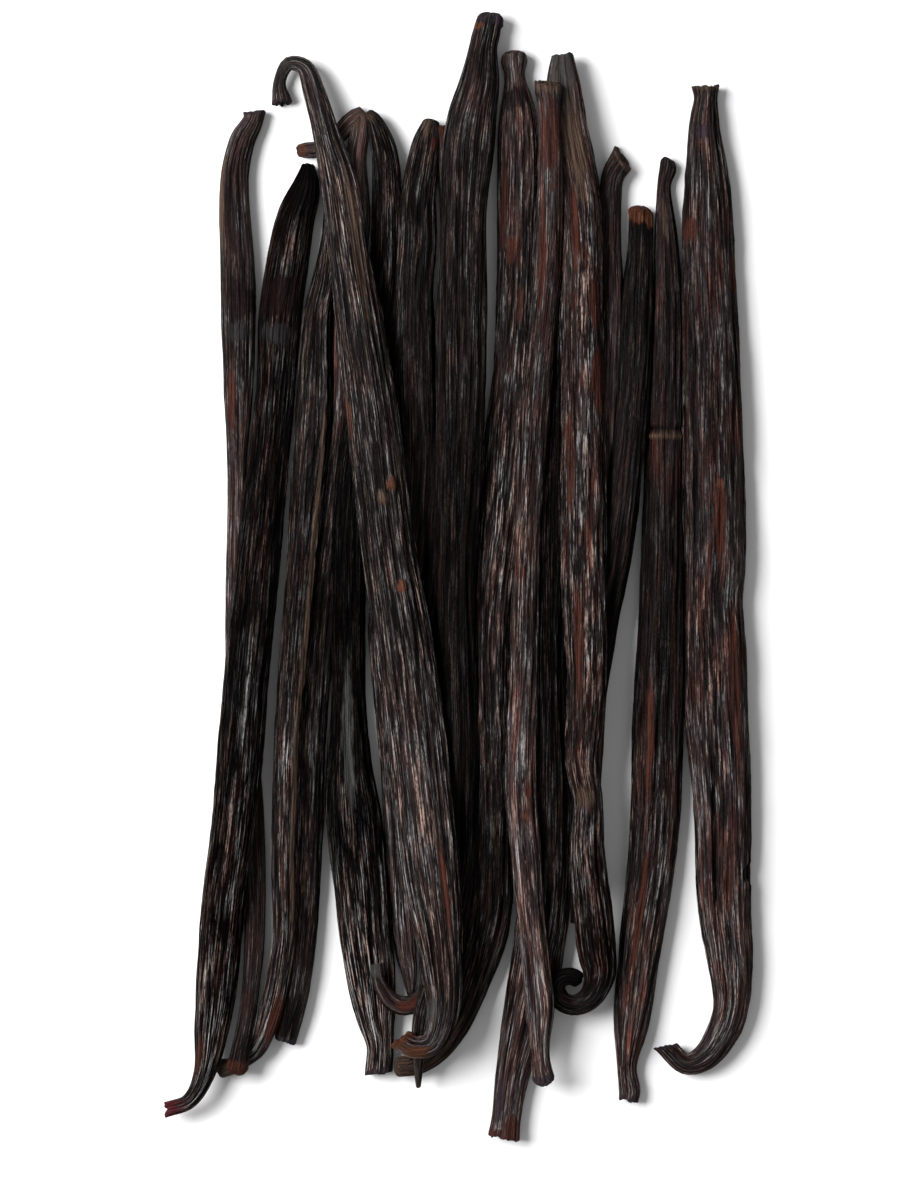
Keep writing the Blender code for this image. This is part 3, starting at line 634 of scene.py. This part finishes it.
def along_pod(levels, length_along, length):
    """Levels at even places along a pod, for every vertex and the two poles."""
    places = np.concatenate([length_along.ravel(), [length_along[0, 0], length_along[-1, 0]]])
    return np.interp(places, np.linspace(0.0, length, len(levels)), levels)


def tinted(tints, tint, mask):
    """Lays a colour over the tints: rows of premultiplied red, green and blue, and cover."""
    layer = np.array([*tint, 1.0])
    return tints * (1 - mask[..., None]) + layer * mask[..., None]


def swept_pod(pod, seed, z_layout):
    """Vertices, faces, map places and layers of values of one pod, in the table's millimetres."""
    route, travel = smooth_route(pod.route, ROUTE_STEP)
    layout_travel = np.linspace(0.0, travel[-1], len(z_layout))
    spine = np.column_stack([route[:, :2], np.interp(travel, layout_travel, z_layout)])
    along = np.gradient(spine, axis=0)
    along /= np.linalg.norm(along, axis=1)[:, None]
    side = np.cross(along, (0.0, 0.0, 1.0))
    side /= np.linalg.norm(side, axis=1)[:, None]
    rise = np.cross(side, along)

    half = route[:, 2] / 2
    place, beyond, share = pod_rows(pod, travel, half)

    def at(values):
        if values.ndim == 1:
            return np.interp(place, travel, values)
        return np.column_stack([np.interp(place, travel, column) for column in values.T])

    wide, high = at(half), at(half_thickness(route[:, 2]))
    widest = half.max()
    angles = section_angles(widest, half_thickness(2 * widest))
    cos, sin = np.cos(angles), np.sin(angles)
    ease = 2 / SECTION_POWER
    across = np.sign(cos) * np.abs(cos) ** ease
    upward = np.sign(sin) * np.abs(sin) ** ease
    outward = np.dstack([
        np.sign(across) * np.abs(across) ** (SECTION_POWER - 1) / wide[:, None],
        np.sign(upward) * np.abs(upward) ** (SECTION_POWER - 1) / high[:, None],
    ])
    outward /= np.linalg.norm(outward, axis=-1)[..., None]

    girth = np.pi * (widest + half_thickness(2 * widest)) / (2 * np.pi)
    skin = np.dstack([cos * share[:, None], sin * share[:, None]]) * girth
    length_along = np.broadcast_to((place + beyond)[:, None], skin.shape[:2])
    tables = [noise_table(1000 * seed + i) for i in range(9)]
    height, crest = relief(pod, skin, length_along, tables)
    fit = np.minimum(1.0, wide / 3.2)[:, None] * np.sqrt(share)[:, None]
    height = height * fit

    flat_x = (wide * share)[:, None] * across
    flat_z = (high * share)[:, None] * upward
    upper = smooth_step(-0.2, 0.25, sin)[None, :]
    tints = np.zeros((*flat_x.shape, 4))
    for mark in pod.marks:
        mask = mark_mask(mark, spine, travel, side, place, flat_x, upper, tables[7])
        height = height + mark.lift * mask
        tints = tinted(tints, TINTS[mark.tint], mask)

    from_start = place - place[0]
    from_finish = place[-1] - place
    lean = end_lean(pod.tip, flat_x, flat_z, 2 * half[-1], from_finish, share, tables[8])
    lean = lean - end_lean(pod.stalk, flat_x, flat_z, 2 * half[0], from_start, share, tables[7])
    patchy = noise(np.dstack([skin[..., 0] / 0.8, skin[..., 1] / 0.8, length_along / 1.6]), tables[7])
    for end, from_end in ((pod.stalk, from_start), (pod.tip, from_finish)):
        if end.tint:
            inward = (from_end - 0.8 * (1 - share) * end.reach)[:, None]
            mask = smooth_step(1.25 * end.reach, 0.75 * end.reach, inward + 1.4 * end.reach * patchy)
            tints = tinted(tints, TINTS[end.tint], mask)

    x = flat_x + height * outward[..., 0]
    z = flat_z + height * outward[..., 1]
    centre = at(spine) + beyond[:, None] * at(along)
    points = centre[:, None] + lean[..., None] * at(along)[:, None]
    points = points + x[..., None] * at(side)[:, None] + z[..., None] * at(rise)[:, None]
    points[..., 2] = np.maximum(points[..., 2], 0.0)

    # Painted shade: the tone darkens down the flanks and underside of the section and lightens a little on
    # top.
    painted_flank_shade = 1.12 - 0.85 * smooth_step(0.75, 0.05, np.broadcast_to(sin, flat_x.shape))
    rings, columns = points.shape[:2]
    poles = np.array([points[0].mean(axis=0), points[-1].mean(axis=0)])
    vertices = np.vstack([points.reshape(-1, 3), poles])
    place3 = np.dstack([skin, length_along]).reshape(-1, 3)
    pole_place = np.array([[0.0, 0.0, length_along[0, 0]], [0.0, 0.0, length_along[-1, 0]]])
    pole_tint = [tints[0].mean(axis=0), tints[-1].mean(axis=0)]
    values = {
        "pod_place": np.vstack([place3, pole_place]),
        "crest": np.concatenate([crest.ravel(), [0.5, 0.5]]),
        "tint": np.vstack([tints.reshape(-1, 4), pole_tint]),
        "tone": along_pod(pod.look.tones, length_along, travel[-1]) * np.append(painted_flank_shade.ravel(), [1.0, 1.0]),
        # Strength of the painted glints along the pod.
        "lines": along_pod(pod.look.lines, length_along, travel[-1]),
    }
    steps = np.hypot(np.diff(length_along[:, 0]), np.diff(share) * wide[1:])
    lengths = np.cumsum(np.concatenate([[0.0, wide[0] * share[0]], steps, [wide[-1] * share[-1]]]))
    corners = map_corners(lengths, columns, 2 * np.pi * girth)
    return vertices, faces_of(rings, columns), corners, values


def map_corners(lengths, columns, girth):
    """Texture place of every face corner: the skin is slit along its underside and cut into strips.

    The lengths are those of the rings and of both poles, measured along the skin from the first pole.
    """
    strips = max(1, round(np.sqrt(lengths[-1] / girth)))
    strip = np.minimum((lengths[:-1] / lengths[-1] * strips).astype(int), strips - 1)
    first = np.searchsorted(strip, np.arange(strips))
    low = lengths[first][strip]
    high = lengths[np.append(first[1:], len(strip))][strip]
    turn = MAP_MARGIN + (1 - 2 * MAP_MARGIN) * np.arange(columns + 1) / columns
    across = (strip[:, None] + turn) / strips
    near = MAP_MARGIN + (1 - 2 * MAP_MARGIN) * (lengths[:-1] - low) / (high - low)
    far = MAP_MARGIN + (1 - 2 * MAP_MARGIN) * (lengths[1:] - low) / (high - low)

    left, right = across[:, :-1], across[:, 1:]
    near, far = [np.broadcast_to(edge[:, None], left.shape) for edge in (near, far)]
    quads = np.stack([left, near, right, near, right, far, left, far], axis=-1)[1:-1]
    middle = (left + right) / 2
    first_fan = np.stack([right, far, left, far, middle, near], axis=-1)[0]
    last_fan = np.stack([left, near, right, near, middle, far], axis=-1)[-1]
    return np.concatenate([quads.ravel(), first_fan.ravel(), last_fan.ravel()])


def faces_of(rings, columns):
    """Quads between neighbouring rings, then the triangles that close both ends."""
    ring, column = np.meshgrid(np.arange(rings - 1), np.arange(columns), indexing="ij")
    following = (column + 1) % columns
    quads = np.stack([
        ring * columns + column, ring * columns + following,
        (ring + 1) * columns + following, (ring + 1) * columns + column,
    ], axis=-1).reshape(-1, 4)
    column = np.arange(columns)
    following = (column + 1) % columns
    last = (rings - 1) * columns
    first_fan = np.column_stack([following, column, np.full(columns, rings * columns)])
    last_fan = np.column_stack([last + column, last + following, np.full(columns, rings * columns + 1)])
    return quads, np.vstack([first_fan, last_fan])


def mesh_of(name, vertices, faces, corners, values):
    quads, fans = faces
    mesh = bpy.data.meshes.new(name)
    mesh.vertices.add(len(vertices))
    mesh.vertices.foreach_set("co", (vertices * MM).ravel())
    mesh.loops.add(quads.size + fans.size)
    mesh.loops.foreach_set("vertex_index", np.concatenate([quads.ravel(), fans.ravel()]))
    mesh.polygons.add(len(quads) + len(fans))
    starts = np.concatenate([np.arange(len(quads)) * 4, quads.size + np.arange(len(fans)) * 3])
    mesh.polygons.foreach_set("loop_start", starts)
    mesh.update(calc_edges=True)
    mesh.shade_smooth()
    mesh.uv_layers.new(name=MAP_NAME).data.foreach_set("uv", corners)
    for key, value in values.items():
        if value.ndim == 2 and value.shape[1] == 4:
            mesh.attributes.new(key, "FLOAT_COLOR", "POINT").data.foreach_set("color", value.ravel())
        elif value.ndim == 2:
            mesh.attributes.new(key, "FLOAT_VECTOR", "POINT").data.foreach_set("vector", value.ravel())
        else:
            mesh.attributes.new(key, "FLOAT", "POINT").data.foreach_set("value", value)
    return mesh


# ---------------------------------------------------------------- material

def add_node(tree, kind, **inputs):
    node = tree.nodes.new(kind)
    for key, value in inputs.items():
        socket = node.inputs[key.replace("_", " ")]
        if isinstance(value, bpy.types.NodeSocket):
            tree.links.new(value, socket)
        else:
            socket.default_value = value
    return node


def attribute(tree, name):
    node = tree.nodes.new("ShaderNodeAttribute")
    node.attribute_name = name
    return node


def stretched_noise(tree, vector, across, along, seed, detail=4.0, roughness=0.6, distortion=0.0):
    """Noise with features of the given size in millimetres across and along the pod."""
    mapping = add_node(
        tree, "ShaderNodeMapping", Vector=vector, Scale=(1 / across, 1 / across, 1 / along),
        Location=(seed * 7.3, seed * 3.1, seed * 5.7),
    )
    return add_node(
        tree, "ShaderNodeTexNoise", Vector=mapping.outputs["Vector"], Scale=1.0, Detail=detail,
        Roughness=roughness, Distortion=distortion,
    ).outputs["Fac"]


def ramp(tree, factor, stops):
    node = add_node(tree, "ShaderNodeValToRGB", Fac=factor)
    elements = node.color_ramp.elements
    while len(elements) < len(stops):
        elements.new(0.5)
    for element, (position, colour) in zip(elements, stops):
        element.position = position
        element.color = (*colour, 1.0)
    return node.outputs["Color"]


def span(tree, value, low, high, to_low=0.0, to_high=1.0):
    node = tree.nodes.new("ShaderNodeMapRange")
    tree.links.new(value, node.inputs["Value"])
    node.inputs["From Min"].default_value = low
    node.inputs["From Max"].default_value = high
    node.inputs["To Min"].default_value = to_low
    node.inputs["To Max"].default_value = to_high
    return node.outputs["Result"]


def mixed(tree, factor, first, second, blend="MIX"):
    node = tree.nodes.new("ShaderNodeMix")
    node.data_type = "RGBA"
    node.blend_type = blend
    sockets = [node.inputs[0], node.inputs[6], node.inputs[7]]
    for socket, value in zip(sockets, (factor, first, second)):
        if isinstance(value, bpy.types.NodeSocket):
            tree.links.new(value, socket)
        elif isinstance(value, tuple):
            socket.default_value = (*value, 1.0)
        else:
            socket.default_value = value
    return node.outputs[2]


def between(first, second, share):
    return tuple(a + (b - a) * share for a, b in zip(first, second))


def lines_of(tree, value, width):
    """Thin lines, 1 in the middle and 0 outside, where a noise crosses its middle value."""
    off = tree.nodes.new("ShaderNodeMath")
    off.operation = "SUBTRACT"
    tree.links.new(value, off.inputs[0])
    off.inputs[1].default_value = 0.5
    size = tree.nodes.new("ShaderNodeMath")
    size.operation = "ABSOLUTE"
    tree.links.new(off.outputs[0], size.inputs[0])
    return span(tree, size.outputs[0], 0.0, width, 1.0, 0.0)


def product(tree, first, second):
    node = tree.nodes.new("ShaderNodeMath")
    node.operation = "MULTIPLY"
    tree.links.new(first, node.inputs[0])
    tree.links.new(second, node.inputs[1])
    return node.outputs[0]


def pod_skin(pod, seed):
    look = pod.look
    material = bpy.data.materials.new("pod_skin_" + pod.name)
    material.use_nodes = True
    tree = material.node_tree
    shader = tree.nodes["Principled BSDF"]
    place = attribute(tree, "pod_place").outputs["Vector"]
    crest = attribute(tree, "crest").outputs["Fac"]
    bands = stretched_noise(tree, place, 1.6, 30.0, seed)
    clouds = stretched_noise(tree, place, 2.6, 12.0, seed + 40, detail=3.0)
    hues = stretched_noise(tree, place, 1.3, 9.0, seed + 30, detail=3.0)
    threads = stretched_noise(tree, place, 0.20, 12.0 * look.reach, seed + 10, detail=2.5, distortion=0.4)
    courses = stretched_noise(tree, place, 0.65, 26.0, seed + 15, detail=2.0, distortion=0.2)
    furrows = lines_of(tree, courses, 0.09)
    fibres = stretched_noise(tree, place, 0.16, 6.0 * look.reach, seed + 70, detail=2.5, distortion=0.4)
    dashes = stretched_noise(tree, place, 0.7, 7.0, seed + 20, detail=3.0)
    grit = stretched_noise(tree, place, 0.22, 0.9, seed + 80, detail=2.0)

    ground = ramp(tree, bands, (
        (0.35, (0.0030, 0.0020, 0.0022)),
        (0.50, (0.0075, 0.0050, 0.0050)),
        (0.65, (0.0150, 0.0085, 0.0080)),
    ))
    fibre = ramp(tree, hues, (
        (0.35, between(NEUTRAL, REDDISH, 0.05 * look.red)),
        (0.50, between(NEUTRAL, REDDISH, 0.35 * look.red)),
        (0.62, between(NEUTRAL, REDDISH, 0.95 * look.red)),
    ))
    strength = product(tree, span(tree, threads, 0.44, 0.58), span(tree, clouds, 0.34, 0.62, 0.15, 1.0))
    strength = product(tree, strength, span(tree, grit, 0.36, 0.56, 0.6, 1.1))
    colour = mixed(tree, strength, ground, fibre)
    # Painted shade: the valleys between the wrinkle crests are darkened to near black, and thin dark furrow
    # lines drawn from noise are painted shade in fine furrows.
    colour = mixed(tree, span(tree, crest, 0.0, 0.6, 0.95, 0.0), colour, (0.0014, 0.0010, 0.0012))
    furrow_shade = product(tree, furrows, span(tree, bands, 0.3, 0.5, 1.0, 0.75))
    colour = mixed(tree, furrow_shade, colour, (0.0010, 0.0008, 0.0009))
    colour = mixed(tree, 1.0, colour, attribute(tree, "tone").outputs["Fac"], "MULTIPLY")

    tint = attribute(tree, "tint")
    tint_threads = span(tree, threads, 0.40, 0.60, 0.2, 1.0)
    cover = product(tree, tint.outputs["Alpha"], tint_threads)
    kept = mixed(tree, 1.0, colour, span(tree, cover, 0.0, 1.0, 1.0, 0.0), "MULTIPLY")
    painted = mixed(tree, 1.0, tint.outputs["Color"], tint_threads, "MULTIPLY")
    colour = mixed(tree, 1.0, kept, painted, "ADD")

    # Painted highlights: pale grey or warm glints along the wrinkle crests, broken into dashes, scaled by the
    # pod's lines level and weak under marks.
    painted_glint = mixed(tree, span(tree, hues, 0.45, 0.55), (0.27, 0.258, 0.255), (0.26, 0.178, 0.150))
    shine = product(tree, span(tree, fibres, 0.51, 0.64), span(tree, crest, 0.25, 0.9))
    shine = product(tree, shine, span(tree, grit, 0.36, 0.56, 0.35, 1.15))
    shine = product(tree, shine, span(tree, dashes, 0.36, 0.60))
    shine = product(tree, shine, attribute(tree, "lines").outputs["Fac"])
    shine = product(tree, shine, span(tree, tint.outputs["Alpha"], 0.0, 0.8, 1.0, 0.1))
    colour = mixed(tree, shine, colour, painted_glint)
    tree.links.new(colour, shader.inputs["Base Color"])
    shader.inputs["Specular IOR Level"].default_value = 0.025 * look.gloss
    rough = span(tree, product(tree, crest, dashes), 0.1, 0.5, 0.45, 0.28)
    tree.links.new(rough, shader.inputs["Roughness"])
    fine = add_node(tree, "ShaderNodeBump", Strength=1.0, Distance=0.40 * MM, Height=threads)
    grain = stretched_noise(tree, place, 0.25, 0.7, seed + 60, detail=2.0)
    bump = add_node(tree, "ShaderNodeBump", Strength=1.0, Distance=0.16 * MM, Height=grain,
                    Normal=fine.outputs["Normal"])
    tree.links.new(bump.outputs["Normal"], shader.inputs["Normal"])
    return material


# ---------------------------------------------------------------- stage

def floor(size):
    mesh = bpy.data.meshes.new("floor")
    reach = size / 2
    corners = [(-reach, -reach, 0.0), (reach, -reach, 0.0), (reach, reach, 0.0), (-reach, reach, 0.0)]
    mesh.from_pydata(corners, [], [(0, 1, 2, 3)])
    table = bpy.data.objects.new("floor", mesh)
    bpy.context.scene.collection.objects.link(table)
    material = bpy.data.materials.new("pale_floor")
    material.use_nodes = True
    shader = material.node_tree.nodes["Principled BSDF"]
    shader.inputs["Base Color"].default_value = (0.86, 0.86, 0.87, 1.0)
    shader.inputs["Roughness"].default_value = 0.9
    mesh.materials.append(material)
    table.location.z = -0.05 * MM


def area_light(name, place, target, size, power):
    light = bpy.data.lights.new(name, "AREA")
    light.size = size
    light.energy = power
    lamp = bpy.data.objects.new(name, light)
    bpy.context.scene.collection.objects.link(lamp)
    lamp.location = place
    aim = np.array(target) - np.array(place)
    lamp.rotation_mode = "QUATERNION"
    lamp.rotation_quaternion = Vector(aim).to_track_quat("-Z", "Y")


def camera(centre):
    data = bpy.data.cameras.new("camera")
    data.sensor_width = SENSOR
    data.lens = SENSOR * CAMERA_DISTANCE / VIEW_HEIGHT
    data.clip_start = 0.01
    data.clip_end = 10.0
    eye = bpy.data.objects.new("camera", data)
    bpy.context.scene.collection.objects.link(eye)
    eye.location = (centre[0], centre[1], CAMERA_DISTANCE * MM)
    bpy.context.scene.camera = eye


def world():
    scene = bpy.context.scene
    scene.world = bpy.data.worlds.new("studio")
    scene.world.use_nodes = True
    background = scene.world.node_tree.nodes["Background"]
    background.inputs["Color"].default_value = (1.0, 1.0, 1.0, 1.0)
    background.inputs["Strength"].default_value = 0.35
    scene.view_settings.view_transform = "Standard"


# ---------------------------------------------------------------- build

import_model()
cad_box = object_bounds()

layout = heights_when_laid([smooth_route(pod.route, LAYOUT_STEP) for pod in PODS])
surfaces = [swept_pod(pod, seed, z) for seed, (pod, z) in enumerate(zip(PODS, layout))]
extent = np.vstack([surface[0] for surface in surfaces])
table_middle = (extent.min(axis=0) + extent.max(axis=0))[:2] / 2
cad_middle = np.array((cad_box[0] + cad_box[1]) / 2)[:2] / MM
shift = np.append(cad_middle - table_middle, 0.0)

for seed, (pod, surface) in enumerate(zip(PODS, surfaces)):
    vertices, faces, corners, values = surface
    mesh = mesh_of(pod.name, vertices + shift, faces, corners, values)
    piece = bpy.data.objects.new(pod.name, mesh)
    bpy.context.scene.collection.objects.link(piece)
    mesh.materials.append(pod_skin(pod, seed))
    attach(piece, "root")
    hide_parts(NODE)

floor(6.0)
world()
area_light("key", (-0.56, 0.16, 0.55), (0.0, 0.0, 0.0), 0.5, 14.0)
camera((np.array(VIEW_CENTRE) + shift[:2]) * MM)
